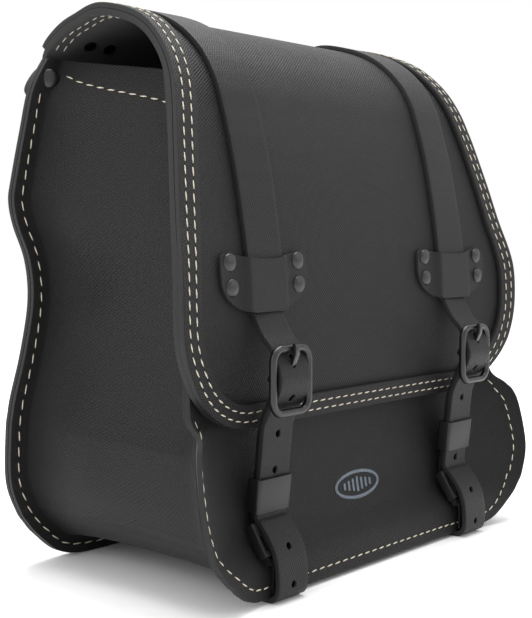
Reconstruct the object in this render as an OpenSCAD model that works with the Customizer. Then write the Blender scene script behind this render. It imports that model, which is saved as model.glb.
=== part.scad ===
// Leather pannier bag: a boxed body with a deep curved flap, closed by two
// buckled straps that clip to the foot of the front panel.
// Millimetres, +Z up. The front faces -Y, the bag stands on z = 0 and x = 0 is its middle.

/* [Body] */
// Thickness of the back panel leather
back_t = 3.4; // [3:0.1:3.6]
// Thickness of the front panel and gusset leather
body_t = 2.8; // [2.2:0.1:2.8]
// Distance from the outer edge to the side wall at the back seam
back_inset = 11; // [9:0.5:12]
// Distance from the outer edge to the side wall where it sags most
sag_inset = 14.5; // [12:0.5:15.5]
// Thickness of the board that stiffens the back
board_t = 2.2; // [1.5:0.1:2.4]

/* [Flap] */
// Thickness of the flap leather
flap_t = 4; // [3.2:0.1:4.2]
// Thickness of the flap leather where it is pared down for the rivets at the back
tail_t = 3.4; // [3:0.1:3.6]
// Thickness of the sewn-on border strip
border_t = 3.6; // [2.8:0.1:3.8]
// Width of the border strip along the sides
border_side = 16; // [12:0.5:20]
// Width of the border strip along the bottom
border_bottom = 13.5; // [11:0.5:18]
// Radius of the two lower corners of the flap
flap_corner = 64; // [58:1:66]
// Half width of the flap at its widest
flap_half = 171; // [169:0.5:172]

/* [Straps] */
// Distance from the middle of the bag to the middle of each strap
strap_x = 97.5; // [92:0.5:101]
// Width of the lower, buckled strap
strap_w = 25; // [22:0.5:25]
// Thickness of the strap leather
strap_t = 3.2; // [2.8:0.1:3.2]
// Width of the upper strap that is fixed to the flap
upper_w = 30; // [26:0.5:31]
// Radius of the punched strap holes
hole_r = 2.2; // [1.8:0.1:2.4]
// Pitch of the punched strap holes
hole_pitch = 21.3; // [20.5:0.1:21.8]

/* [Buckle] */
// Inner width of the buckle frame
buckle_inner = 26; // [25.6:0.1:27]
// Outer height of the buckle frame
buckle_h = 41; // [40:0.5:42]
// Radius of the buckle wire
wire_r = 2.3; // [2:0.1:2.3]
// Radius of the buckle's middle bar
bar_r = 1.8; // [1.6:0.1:1.9]
// Height of a keeper loop
keeper_h = 20.5; // [17:0.5:20.5]

/* [Fixing to the carrier] */
// Distance between the eyelets across the back
eyelet_dx = 200; // [180:5:210]
// Distance between the eyelets up the back
eyelet_dz = 120; // [100:5:130]
// Radius of the hole in each eyelet
eyelet_r = 4; // [3:0.25:4.5]

/* [Hidden] */
$fn = 48;
leather = "#1b1b1d";
thick_leather = "#202023";
strap_colour = "#262629";
metal = "#101012";
plastic = "#0c0c0d";
board = "#3a3a3c";

// Back panel planes
back_y = 87;
back_in = back_y - back_t;
seam_y = back_in - 3.2;

// The bag's rim from the top of one side down to the middle of the bottom:
// [x, z at the back], [x, z, y at the front], y at the middle of the front panel, fullness.
rim = [
    [136, 318, 134, 303, -27, -25.5, 6],
    [147, 299, 137.5, 287, -32, -29.8, 6],
    [154, 272, 142.5, 263, -39.5, -35.5, 6],
    [161, 242, 146, 240, -45.5, -40.5, 6],
    [163, 229, 148, 228, -48, -43, 6],
    [160, 214, 150, 214, -52, -46.3, 6],
    [151.5, 192, 152.8, 192, -57.5, -50.5, 8],
    [149.5, 167, 154.5, 167, -61.5, -53.2, 8],
    [155.5, 136, 154, 136, -62.5, -53.8, 10],
    [163.5, 109, 155.2, 109, -64, -54, 12],
    [165.8, 98.5, 158.7, 99, -76, -54.5, 10],
    [167.5, 87, 164.8, 87, -82, -55.5, 8],
    [168, 56, 167, 56, -88, -58.8, 6],
    [161, 36, 161.5, 36, -88.8, -63, 6],
    [155, 27, 155, 27, -88.5, -70, 6],
    [148, 19, 147, 19, -87.5, -76.8, 6],
    [130, 4.5, 128, 5, -83.5, -79.3, 6],
    [105, 0, 103, 0, -79.5, -79, 6],
    [60, 0, 60, 0, -79, -79, 6],
    [0, 0, 0, 0, -79, -79, 6]
];
panel_last = 17;
rim_last = len(rim) - 1;
level_rows = 1.2;
eyelet_mid_z = 180;
eyelet_wall = 1.2;

// The flap from its lower edge over the top to the back: [y, z, forward curl, half width].
flap_low = [[98, -59.5], [105, -60], [112, -60.8], [122, -62.4], [132, -63.4], [162, -63.6]];
corner_x = flap_half - flap_corner;
corner_z = 98 + flap_corner;
low_curl = 8;
flap_rest = [
    [-63.6, 162.3, 8, 171],
    [-62.8, 182, 8, 170.6],
    [-61.9, 197, 6.2, 168.3],
    [-59.4, 218, 2.4, 163.5],
    [-55.8, 240, 0, 159],
    [-51.1, 262, -1.8, 154],
    [-45.9, 280, -2, 149.5],
    [-40, 297, -3, 145.3],
    [-29.7, 313, -3.8, 141.5],
    [-12, 328, -3, 137.3],
    [10, 337.9, -2, 133.8],
    [38, 344, -1.5, 132],
    [58.5, 340, -1, 132],
    [72, 335.6, -0.5, 132.4],
    [84, 328, 0, 133],
    [89.2, 321.6, 0, 133]
];
flap_rows = concat(
    [for (a = [90:-15:15])
        let (z = corner_z - flap_corner * sin(a))
        [lookup(z, flap_low), z, low_curl, corner_x + flap_corner * cos(a)]],
    flap_rest);
curl_x = 170;

// The outer face of a lower strap in its own plane, from the fold under the tab to the foot
strap_face = [
    [-71, 161], [-76, 152.7], [-82.8, 145.5], [-88, 136], [-90.6, 128], [-88.5, 119.5],
    [-83, 111.5], [-78.9, 104], [-76.8, 98], [-75.2, 84], [-73.4, 68], [-71.4, 49.5],
    [-74.6, 45], [-79.5, 39.5], [-84, 33], [-87.2, 25], [-88.4, 16], [-88.4, 9], [-87, 4]
];
hole_top_z = 116.5;
slot_z = [128.2, 142];
slot_w = 5;

// Buckle, chape and keeper places in the same plane
frame_y = -86;
frame_top_z = 147;
bar_y = -83.4;
bar_z = 128;
chape_t = 2.6;
chape_w = 22;
strap_slope = (76.8 - 71.4) / (98 - 49.5);
strap_tilt = atan(strap_slope);
chape_gap = 0.6;
keeper_wall = 1.6;
keeper_play = 0.35;
keeper_left_z = 48.9;
keeper_right_z = 57.9;

// The clip lies on the slope of the front panel
clip_y = -73.6;
clip_z = 34;
clip_tilt = -34;
clip_w = 32;
clip_t = 5.8;
clip_half = 10.8;
anchor_t = 1.45;
anchor_bar = [0.7, -12.6];

// Rivets
cap_t = 1;
tab_rivets_at = [[-30.3, 193], [30.7, 193], [-29.3, 179], [31.2, 179]];
fold_lean = 30;

// A smooth curve through the rows of a list, at a place s counted in rows
function curve_at(rows, s) =
    let (n = len(rows) - 1,
        i = min(floor(s), n - 1),
        t = s - i,
        a = rows[max(i - 1, 0)],
        b = rows[i],
        c = rows[i + 1],
        d = rows[min(i + 2, n)])
    0.5 * (2 * b + (c - a) * t + (2 * a - 5 * b + 4 * c - d) * t * t
        + (3 * b - a - 3 * c + d) * t * t * t);

function curve(rows, steps) = [for (j = [0:(len(rows) - 1) * steps]) curve_at(rows, j / steps)];

function reversed(list) = [for (j = [len(list) - 1:-1:0]) list[j]];

function unit(v) = v / norm(v);

// Inward normals of a path in a plane, turned a quarter from its direction
function turned(v, way) = way * [v[1], -v[0]];

function normals(path, way) =
    [for (j = [0:len(path) - 1])
        turned(unit(path[min(j + 1, len(path) - 1)] - path[max(j - 1, 0)]), way)];

// A closed band round an outer line and an inner line of as many points
function band(outer, inner) = concat(outer, reversed(inner));

// A leather strip seen edge on: a face line and the same line moved by its thickness
function strip(face, t, way) =
    let (n = normals(face, way))
    band(face, [for (j = [0:len(face) - 1]) face[j] + t * n[j]]);

// A closed skin through bands that lie one after another
module skin(rings) {
    n = len(rings[0]);
    m = len(rings);
    last = (m - 1) * n;
    points = [for (r = rings) each r];
    start_cap = [for (j = [0:n / 2 - 2])
        each [[j, n - 1 - j, n - 2 - j], [j, n - 2 - j, j + 1]]];
    end_cap = [for (f = start_cap) [f[0] + last, f[2] + last, f[1] + last]];
    sides = [for (i = [0:m - 2], j = [0:n - 1])
        let (a = i * n + j, b = i * n + (j + 1) % n)
        each [[a, b, b + n], [a, b + n, a + n]]];
    faces = concat(start_cap, end_cap, sides);
    volumes = [for (f = faces) cross(points[f[1]], points[f[2]]) * points[f[0]]];
    ones = [for (v = volumes) 1];
    outward = volumes * ones < 0;
    polyhedron(points, outward ? faces : [for (f = faces) reversed(f)]);
}

// Extrudes a shape drawn in the strap's plane (y, z) to a width centred on x
module across(width) {
    translate([-width / 2, 0, 0])
        rotate([90, 0, 90])
            linear_extrude(width)
                children();
}

function rounded_rect(w, d, r) =
    [for (c = [[1, 1, 0], [-1, 1, 90], [-1, -1, 180], [1, -1, 270]], a = [0:22.5:90])
        [c[0] * (w / 2 - r) + r * cos(a + c[2]), c[1] * (d / 2 - r) + r * sin(a + c[2])]];

// A rivet along y with a domed head at the front and a flat cap at the back.
// The head may lean about the upright line, where it is set over a fold.
module rivet(x, z, front, back, head_r, head_h, cap_r, lean = 0) {
    ball_r = (head_r * head_r + head_h * head_h) / (2 * head_h);
    shank_r = head_r * 0.38;
    translate([x, 0, z])
        rotate([90, 0, 0]) {
            translate([0, 0, -front])
                rotate([0, lean, 0])
                    intersection() {
                        translate([0, 0, head_h - ball_r]) sphere(ball_r);
                        cylinder(h = head_h + 1, r = head_r + 1);
                    }
            translate([0, 0, -back]) cylinder(h = back - front + 0.2, r = shank_r);
            translate([0, 0, -back - cap_t]) cylinder(h = cap_t, r = cap_r);
        }
}

// ---- body ----

function panel_y(x, z) =
    let (rows = [for (i = [0:panel_last]) rim[i]],
        w = lookup(z, [for (r = rows) [r[3], r[2]]]),
        edge = lookup(z, [for (r = rows) [r[3], r[4]]]),
        mid = lookup(z, [for (r = rows) [r[3], r[5]]]),
        p = lookup(z, [for (r = rows) [r[3], r[6]]]))
    mid + (edge - mid) * pow(min(1, abs(x) / w), p);

panel_columns = [-1, -0.97, -0.93, -0.88, -0.8, -0.7, -0.55, -0.35, -0.15,
    0.15, 0.35, 0.55, 0.7, 0.8, 0.88, 0.93, 0.97, 1];

function panel_ring(r) =
    let (face = [for (u = panel_columns) [u * r[2], r[5] + (r[4] - r[5]) * pow(abs(u), r[6]), r[3]]])
    band(face, [for (p = face) p + [0, body_t, 0]]);

module front_panel() {
    color(leather)
        skin([for (j = [0:panel_last * 2]) panel_ring(curve_at(rim, j / 2))]);
}

// Inward direction of the rim in the x-z plane, at the back (0) or the front (2).
// It turns level at the very top, so that the side wall's upper edge stays high.
function inward(s, col) =
    let (a = curve_at(rim, max(s - 0.2, 0)),
        b = curve_at(rim, min(s + 0.2, rim_last)),
        t = unit([b[col] - a[col], b[col + 1] - a[col + 1]]),
        level = max(0, 1 - s / level_rows))
    unit((1 - level) * [t[1], -t[0]] + level * [-1, 0]);

// A point of the side wall: depth d in from the rim, q of the way from back to front
function wall_point(s, d, q, dy) =
    let (r = curve_at(rim, s),
        n = unit((1 - q) * inward(s, 0) + q * inward(s, 2)),
        base = (1 - q) * [r[0], r[1]] + q * [r[2], r[3]],
        at = base + d * n)
    [at[0], seam_y + q * (r[4] + 6 - seam_y) + dy, at[1]];

// A point of the front seam flange: d in from the rim, dy behind the front panel's face
function flange_point(s, d, dy) =
    let (r = curve_at(rim, s),
        at = [r[2], r[3]] + d * inward(s, 2))
    [at[0], panel_y(at[0], at[1]) + dy, at[1]];

function gusset_ring(s) =
    band(
        [wall_point(s, 0, 0, 0), wall_point(s, back_inset, 0, 0),
            wall_point(s, back_inset + 2, 0, -4), wall_point(s, sag_inset - 0.3, 0.2, 0),
            wall_point(s, sag_inset, 0.42, 0), wall_point(s, sag_inset - 0.8, 0.64, 0),
            wall_point(s, sag_inset - 2.2, 0.82, 0), flange_point(s, 10.5, body_t + 6.6),
            flange_point(s, 7, 2 * body_t + 0.3), flange_point(s, 0, 2 * body_t + 0.2)],
        [wall_point(s, 0, 0, 3), wall_point(s, back_inset + 2.6, 0, 3),
            wall_point(s, back_inset + 2 + body_t, 0, -3.4),
            wall_point(s, sag_inset - 0.3 + body_t, 0.2, 0),
            wall_point(s, sag_inset + body_t, 0.42, 0),
            wall_point(s, sag_inset - 0.8 + body_t, 0.64, 0),
            wall_point(s, sag_inset - 2.2 + body_t, 0.82, 0),
            flange_point(s, 13, body_t + 4.2), flange_point(s, 9, body_t + 0.2),
            flange_point(s, 0, body_t + 0.2)]);

function mirrored(ring) = [for (p = ring) [-p[0], p[1], p[2]]];

module gusset() {
    right = [for (j = [0:rim_last * 2]) gusset_ring(j / 2)];
    left = [for (j = [rim_last * 2 - 1:-1:0]) mirrored(gusset_ring(j / 2))];
    color(leather) skin(concat(right, left));
}

function back_outline() =
    let (right = [for (p = curve([for (r = rim) [r[0], r[1]]], 3)) p],
        inner = [for (j = [0:len(right) - 2]) right[j]])
    concat(right, reversed([for (p = inner) [-p[0], p[1]]]));

module upright(y, t) {
    translate([0, y + t, 0])
        rotate([90, 0, 0])
            linear_extrude(t)
                children();
}

module at_eyelets() {
    for (x = [-1, 1], z = [-1, 1])
        translate([x * eyelet_dx / 2, 0, eyelet_mid_z + z * eyelet_dz / 2])
            rotate([90, 0, 0])
                children();
}

module back_panel() {
    color(thick_leather)
        difference() {
            upright(back_in, back_t) polygon(back_outline());
            at_eyelets() cylinder(h = 200, r = eyelet_r + eyelet_wall, center = true);
        }
}

module back_stiffener() {
    w = 250;
    h = 262;
    color(board)
        difference() {
            translate([0, 0, 30 + h / 2])
                upright(back_in - board_t, board_t) polygon(rounded_rect(w, h, 25));
            at_eyelets() cylinder(h = 200, r = eyelet_r + eyelet_wall, center = true);
        }
}

module mounting_eyelets() {
    depth = back_t + board_t;
    color(metal)
        at_eyelets() {
            translate([0, 0, -back_y])
                difference() {
                    union() {
                        translate([0, 0, -0.8]) cylinder(h = 0.8, r = 7.5);
                        cylinder(h = depth, r = eyelet_r + eyelet_wall);
                        translate([0, 0, depth]) cylinder(h = 0.8, r = 7.5);
                    }
                    translate([0, 0, -5]) cylinder(h = depth + 10, r = eyelet_r);
                }
        }
}

tail_outline = [[-134, 314.8], [-140, 310], [-145.5, 302], [-146.5, 297], [-142, 292.5],
    [142, 292.5], [146.5, 297], [145.5, 302], [140, 310], [134, 314.8]];

module hinge_tail() {
    color(thick_leather) upright(back_y, tail_t) polygon(tail_outline);
}

module hinge_rivets() {
    rear = back_y + tail_t;
    color(metal) {
        for (side = [-1, 1])
            rivet(side * 135.2, 305.5, seam_y - 0.6, rear, 6, 1.9, 5.5, side * fold_lean);
        for (x = [-70, 0, 70]) rivet(x, 303, back_in, rear, 5, 2, 5.5);
    }
}

// Liner strips inside the top of each side wall, held by the row of stitches there
function wing_ring(s) =
    let (d = body_t + 0.1)
    band(
        [wall_point(s, back_inset + 2.6 + d, 0.05, 0), wall_point(s, sag_inset - 0.3 + d, 0.2, 0),
            wall_point(s, sag_inset + d, 0.42, 0), wall_point(s, sag_inset - 0.8 + d, 0.64, 0),
            wall_point(s, sag_inset - 2.2 + d, 0.8, 0)],
        [wall_point(s, back_inset + 4.6 + d, 0.05, 0), wall_point(s, sag_inset + 1.7 + d, 0.2, 0),
            wall_point(s, sag_inset + 2 + d, 0.42, 0), wall_point(s, sag_inset + 1.2 + d, 0.64, 0),
            wall_point(s, sag_inset - 0.2 + d, 0.8, 0)]);

module side_wing_right() {
    color(leather) skin([for (j = [0:4]) wing_ring(0.1 + j * 0.35)]);
}

module side_wing_left() {
    mirror([1, 0, 0]) side_wing_right();
}

// ---- flap ----

fine_rows = curve(flap_rows, 2);
row_normals = normals([for (r = fine_rows) [r[0], r[1]]], 1);

function flap_point(i, x, out) =
    let (r = fine_rows[i], n = row_normals[i])
    [x, r[0] - r[2] * pow(abs(x) / curl_x, 3) - out * n[0], r[1] - out * n[1]];

flap_columns = [-1, -0.92, -0.84, -0.74, -0.6, -0.42, -0.22, 0, 0.22, 0.42, 0.6, 0.74, 0.84, 0.92, 1];

module flap_panel() {
    color(thick_leather)
        skin([for (i = [0:len(fine_rows) - 1])
            let (w = fine_rows[i][3])
            band([for (u = flap_columns) flap_point(i, u * w, 0)],
                [for (u = flap_columns) flap_point(i, u * w, -flap_t)])]);
}

// The flap's outer face below its top, as y for a place x, z
front_rows = [for (r = fine_rows) if (r[1] < 314 && r[0] < 0) r];
face_z = [for (r = front_rows) [r[1], r[0]]];
face_curl = [for (r = front_rows) [r[1], r[2]]];

function flap_y(x, z) = lookup(z, face_z) - lookup(z, face_curl) * pow(abs(x) / curl_x, 3);

function border_point(x, z, out) = [x, flap_y(x, z) - out, z];

// The border strip at an angle of the lower corner
function corner_ring(side, a) =
    let (inner_x = flap_corner - border_side,
        inner_z = flap_corner - border_bottom,
        e = [side * (corner_x + flap_corner * cos(a)), corner_z - flap_corner * sin(a)],
        i = [side * (corner_x + inner_x * cos(a)), corner_z - inner_z * sin(a)])
    border_ring(e, i);

function border_ring(e, i) =
    band([border_point(e[0], e[1], border_t), border_point(i[0], i[1], border_t)],
        [border_point(e[0], e[1], 0.05), border_point(i[0], i[1], 0.05)]);

function side_ring(i, side) =
    let (w = fine_rows[i][3])
    band([flap_point(i, side * w, border_t), flap_point(i, side * (w - border_side), border_t)],
        [flap_point(i, side * w, 0.05), flap_point(i, side * (w - border_side), 0.05)]);

side_rows = [for (i = [0:len(fine_rows) - 1]) if (fine_rows[i][1] > corner_z || fine_rows[i][0] > 0) i];

module flap_border() {
    color(thick_leather)
        skin(concat(
            [for (i = reversed(side_rows)) side_ring(i, -1)],
            [for (a = [0:11.25:90]) corner_ring(-1, a)],
            [for (x = [-90:30:90]) border_ring([x, 98], [x, 98 + border_bottom])],
            [for (a = [90:-11.25:0]) corner_ring(1, a)],
            [for (i = side_rows) side_ring(i, 1)]));
}

upper_rows = [for (i = [0:len(fine_rows) - 1])
    if ((fine_rows[i][1] > 164.9 || fine_rows[i][0] > 0) && fine_rows[i][0] < 85) i];

module strap_upper_right() {
    color(strap_colour)
        skin([for (i = upper_rows)
            band([flap_point(i, strap_x - upper_w / 2, strap_t + 0.05),
                    flap_point(i, strap_x + upper_w / 2, strap_t + 0.05)],
                [flap_point(i, strap_x - upper_w / 2, 0.05),
                    flap_point(i, strap_x + upper_w / 2, 0.05)])]);
}

module strap_upper_left() {
    mirror([1, 0, 0]) strap_upper_right();
}

// The tab over each strap: [z, half width] from its round lower edge to its upper edge
tab_rows = [[164.6, 12], [165.4, 18], [167.2, 24], [170, 29.5], [174, 34.3], [179.5, 37.6],
    [186, 38.6], [192, 38.4], [196, 37.4], [198.3, 34.5]];
tab_columns = [-1, -0.78, -0.57, -0.42, -0.2, 0, 0.2, 0.42, 0.57, 0.78, 1];
tab_t = 2.2;

function bridge(x) =
    let (t = max(0, min(1, (21.4 - abs(x)) / 5.6)))
    3.45 * t * t * (3 - 2 * t);

module tab_right() {
    color(strap_colour)
        skin([for (r = tab_rows)
            let (out = [for (u = tab_columns) u * r[1]])
            band([for (x = out) [strap_x + x, flap_y(strap_x + x, r[0]) - bridge(x) - tab_t, r[0]]],
                [for (x = out) [strap_x + x, flap_y(strap_x + x, r[0]) - bridge(x) - 0.05, r[0]]])]);
}

module tab_left() {
    mirror([1, 0, 0]) tab_right();
}

module tab_rivets() {
    color(metal)
        for (side = [-1, 1], p = tab_rivets_at) {
            x = side * strap_x + p[0];
            face = flap_y(x, p[1]);
            rivet(x, p[1], face - tab_t, face + flap_t, 5.3, 2.1, 5);
        }
}

module strap_end_rivets() {
    i = upper_rows[len(upper_rows) - 2];
    head = flap_point(i, 0, strap_t);
    slope = atan2(-row_normals[i][0], -row_normals[i][1]);
    color(metal)
        for (side = [-1, 1], dx = [-8, 8])
            translate([side * strap_x + dx, head[1], head[2]])
                rotate([-slope, 0, 0]) {
                    intersection() {
                        translate([0, 0, -4.6]) sphere(6.2);
                        cylinder(h = 4, r = 6);
                    }
                    translate([0, 0, -strap_t - flap_t]) cylinder(h = strap_t + flap_t + 0.3, r = 1.7);
                    translate([0, 0, -strap_t - flap_t - 1]) cylinder(h = 1, r = 4);
                }
}

// ---- one strap with its buckle, drawn at x = 0 and moved to its side ----

strap_line = curve(strap_face, 3);

module strap_lower() {
    color(strap_colour)
        difference() {
            across(strap_w) polygon(strip(strap_line, strap_t, -1));
            for (k = [0:5])
                translate([0, -60, hole_top_z - k * hole_pitch])
                    rotate([90, 0, 0]) cylinder(h = 60, r = hole_r);
            translate([-slot_w / 2, -120, slot_z[0]]) cube([slot_w, 60, slot_z[1] - slot_z[0]]);
        }
}

function bar(x, z) = [x, frame_y, z];

module buckle_frame() {
    half = buckle_inner / 2 + wire_r;
    top = frame_top_z - wire_r;
    bottom = frame_top_z - buckle_h + wire_r;
    bend = 7.5;
    color(metal) {
        for (z = [bottom, top])
            translate(bar(0, z)) rotate([0, 90, 0])
                cylinder(h = 2 * (half - bend), r = wire_r, center = true);
        for (x = [-half, half])
            translate(bar(x, bottom + bend)) cylinder(h = top - bottom - 2 * bend, r = wire_r);
        for (c = [[1, 1, 0], [-1, 1, 90], [-1, -1, 180], [1, -1, 270]])
            translate(bar(c[0] * (half - bend), (c[1] > 0 ? top - bend : bottom + bend)))
                rotate([90, 0, 0])
                    rotate([0, 0, c[2]])
                        rotate_extrude(angle = 90)
                            translate([bend, 0]) circle(wire_r);
        translate([0, bar_y, bar_z]) rotate([0, 90, 0])
            cylinder(h = 2 * half, r = bar_r, center = true);
    }
}

module buckle_prong() {
    arm = [[-84.4, 131], [-86.2, 136.4], [-88.4, 141.4], [-88.45, 146.6], [-89.2, 147.6],
        [-90.6, 147.3], [-91.2, 145.4], [-91, 141.4], [-88.6, 136], [-86.2, 130.4]];
    color(metal)
        difference() {
            union() {
                across(3.2) polygon(arm);
                translate([0, bar_y, bar_z]) rotate([0, 90, 0])
                    cylinder(h = 3.2, r = 3.2, center = true);
            }
            translate([0, bar_y, bar_z]) rotate([0, 90, 0])
                cylinder(h = 10, r = bar_r + 0.05, center = true);
        }
}

// The chape: from the clip up behind the strap and round the middle bar
function chape_y(z) = -76.8 + strap_t + chape_gap + (98 - z) * strap_slope;
chape_face = [[-67.9, 43.4], [chape_y(47.5), 47.5], [chape_y(60), 60], [chape_y(78), 78],
    [chape_y(94), 94], [-75.2, 103], [-79.3, 112], [-82.9, 120], [-84.7, 124.6]];
slot_half = 2.6;

module chape() {
    color(strap_colour)
        difference() {
            union() {
                across(chape_w) polygon(strip(curve(chape_face, 3), chape_t, 1));
                translate([0, bar_y, bar_z]) rotate([0, 90, 0])
                    cylinder(h = chape_w, r = bar_r + 2.1, center = true);
            }
            translate([0, bar_y, bar_z]) rotate([0, 90, 0])
                cylinder(h = 60, r = bar_r, center = true);
            translate([-slot_half, -100, 121.5]) cube([2 * slot_half, 40, 20]);
        }
}

// The keeper: a flat loop round strap and chape, at a height z
module keeper(z) {
    in_d = strap_t + chape_gap + chape_t + 2 * keeper_play;
    in_w = strap_w + 2 * keeper_play;
    out_d = in_d + 2 * keeper_wall;
    out_w = in_w + 2 * keeper_wall;
    face = -71.4 - (z - 49.5) * strap_slope;
    color(strap_colour)
        translate([0, face, z])
            rotate([strap_tilt, 0, 0])
                translate([0, in_d / 2 - keeper_play, 0.6])
                    difference() {
                        linear_extrude(keeper_h) polygon(rounded_rect(out_w, out_d, 2.4));
                        translate([0, 0, -1])
                            linear_extrude(keeper_h + 2) polygon(rounded_rect(in_w, in_d, 0.6));
                    }
}

module at_clip() {
    translate([0, clip_y, clip_z]) rotate([clip_tilt, 0, 0]) children();
}

module block(x0, x1, y0, y1, z0, z1) {
    translate([x0, y0, z0]) cube([x1 - x0, y1 - y0, z1 - z0]);
}

module clip_female() {
    h = clip_half;
    w = clip_w / 2;
    t = clip_t / 2;
    color(plastic)
        at_clip()
            difference() {
                union() {
                    block(-w, w, -t, -t + 1.4, -h + 1, h);
                    for (x = [-w, w - 1.7]) block(x, x + 1.7, -t, t, -h + 1, h);
                    block(-w, w, -t, t, h - 2, h);
                }
                for (x = [-1, 1]) translate([x * (w - 3.8), -5, -2]) block(-1.2, 1.2, 0, 6, -4, 5);
            }
}

module clip_male() {
    w = clip_w / 2 - 2.2;
    front = -clip_t / 2 + 1.7;
    rear = clip_t / 2 - 0.3;
    color(plastic)
        at_clip() {
            block(-8, 8, front, rear, -clip_half + 1, clip_half - 5);
            for (x = [-w, w - 3]) block(x, x + 3, front, rear, -clip_half + 1, 2);
            block(-w, w, front, rear, -clip_half + 0.9, -clip_half + 3.4);
            for (x = [-w, w - 2.4]) block(x, x + 2.4, front + 0.4, rear, anchor_bar[1] - 1.4, -clip_half + 1.4);
            translate([0, anchor_bar[0], anchor_bar[1]]) rotate([0, 90, 0])
                cylinder(h = 2 * w - 2, r = 1.1, center = true);
        }
}

// The anchor strap's face runs down from the clip's bar to the foot of the front panel
bar_place = [clip_y + anchor_bar[0] * cos(clip_tilt) - anchor_bar[1] * sin(clip_tilt),
    clip_z + anchor_bar[0] * sin(clip_tilt) + anchor_bar[1] * cos(clip_tilt)];
anchor_face = [[bar_place[0] - 2.5, bar_place[1]], [-82.8, 18], [-82.8, 12], [-82.7, 5.5]];
anchor_hole_z = 9;

module anchor_strap() {
    color(strap_colour)
        difference() {
            union() {
                across(22) polygon(strip(curve(anchor_face, 3), anchor_t, -1));
                translate([0, bar_place[0], bar_place[1]]) rotate([0, 90, 0])
                    cylinder(h = 22, r = 1.1 + anchor_t, center = true);
            }
            translate([0, bar_place[0], bar_place[1]]) rotate([0, 90, 0])
                cylinder(h = 60, r = 1.1, center = true);
        }
}

module anchor_rivets() {
    color(metal)
        for (side = [-1, 1]) {
            back = panel_y(strap_x, anchor_hole_z) + 2 * body_t + 0.2;
            rivet(side * strap_x, anchor_hole_z, -82.6, back, 4.2, 1.3, 4.2);
        }
}

module on_left() {
    translate([-strap_x, 0, 0]) children();
}

module on_right() {
    translate([strap_x, 0, 0]) children();
}

back_panel();
back_stiffener();
gusset();
front_panel();
hinge_tail();
hinge_rivets();
side_wing_left();
side_wing_right();
mounting_eyelets();
on_left() anchor_strap();  // anchor_strap_left
on_right() anchor_strap();  // anchor_strap_right
anchor_rivets();
on_left() clip_male();  // clip_male_left
on_right() clip_male();  // clip_male_right
flap_panel();
flap_border();
tab_left();
tab_right();
tab_rivets();
strap_upper_left();
strap_upper_right();
strap_end_rivets();
on_left() strap_lower();  // strap_lower_left
on_right() strap_lower();  // strap_lower_right
on_left() buckle_frame();  // buckle_frame_left
on_right() buckle_frame();  // buckle_frame_right
on_left() buckle_prong();  // buckle_prong_left
on_right() buckle_prong();  // buckle_prong_right
on_left() chape();  // chape_left
on_right() chape();  // chape_right
on_left() keeper(keeper_left_z);  // keeper_left
on_right() keeper(keeper_right_z);  // keeper_right
on_left() clip_female();  // clip_female_left
on_right() clip_female();  // clip_female_right
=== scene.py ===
# A black leather pannier bag: body, curved flap, two buckled straps.
# Metres, +Z up, the front of the bag faces -Y and x = 0 is its middle.
import math

import bmesh
import bpy
from mathutils import Matrix, Vector


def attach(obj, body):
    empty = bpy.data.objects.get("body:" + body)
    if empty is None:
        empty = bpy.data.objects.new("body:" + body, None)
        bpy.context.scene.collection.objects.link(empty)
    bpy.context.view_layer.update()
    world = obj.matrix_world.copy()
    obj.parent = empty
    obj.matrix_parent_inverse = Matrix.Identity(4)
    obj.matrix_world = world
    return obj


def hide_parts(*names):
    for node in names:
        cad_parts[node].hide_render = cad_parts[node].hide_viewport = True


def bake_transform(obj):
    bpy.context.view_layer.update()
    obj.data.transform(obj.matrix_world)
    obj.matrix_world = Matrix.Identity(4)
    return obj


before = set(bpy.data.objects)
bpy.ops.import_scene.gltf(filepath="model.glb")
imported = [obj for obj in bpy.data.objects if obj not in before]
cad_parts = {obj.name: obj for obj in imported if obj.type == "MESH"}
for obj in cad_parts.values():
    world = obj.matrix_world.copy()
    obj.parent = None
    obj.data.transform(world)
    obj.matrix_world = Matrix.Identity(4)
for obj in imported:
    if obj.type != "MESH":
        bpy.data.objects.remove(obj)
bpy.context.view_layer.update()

# ---------------------------------------------------------------- floor, light and camera
# A plain white paper sweep under soft studio light: a broad soft box overhead, a weak one in
# front on the right and one on the left, with the camera at table height near one corner.
MM = 0.001


def colour(hex_code):
    parts = [int(hex_code[i:i + 2], 16) / 255 for i in (1, 3, 5)]
    linear = [c / 12.92 if c <= 0.04045 else ((c + 0.055) / 1.055) ** 2.4 for c in parts]
    return (*linear, 1.0)


def material(name, rough, base, coat=0.0, metallic=0.0):
    made = bpy.data.materials.new(name)
    made.use_nodes = True
    shader = made.node_tree.nodes["Principled BSDF"]
    shader.inputs["Roughness"].default_value = rough
    shader.inputs["Base Color"].default_value = colour(base)
    shader.inputs["Coat Weight"].default_value = coat
    shader.inputs["Metallic"].default_value = metallic
    return made


def node(mat, kind, settings=(), **links):
    """Adds a node; settings is a dict of properties and sockets, links name sockets to feed."""
    tree = mat.node_tree
    made = tree.nodes.new(kind)
    for key, value in dict(settings).items():
        if key in made.inputs.keys():
            made.inputs[key].default_value = value
        else:
            setattr(made, key, value)
    for key, source in links.items():
        tree.links.new(source, made.inputs[key.replace("_", " ")])
    return made


def shader_of(mat):
    return mat.node_tree.nodes["Principled BSDF"]


def mesh_piece(name, bm, *materials, smooth_angle=40):
    mesh = bpy.data.meshes.new(name)
    bm.to_mesh(mesh)
    bm.free()
    piece = bpy.data.objects.new(name, mesh)
    bpy.context.scene.collection.objects.link(piece)
    for made in materials:
        mesh.materials.append(made)
    mesh.shade_smooth()
    mesh.set_sharp_from_angle(angle=math.radians(smooth_angle))
    return piece


floor_bm = bmesh.new()
bmesh.ops.create_grid(floor_bm, x_segments=2, y_segments=2, size=4)
paper = material("white_paper_sweep", 0.95, "#ffffff")
floor = mesh_piece("floor", floor_bm, paper)

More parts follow.
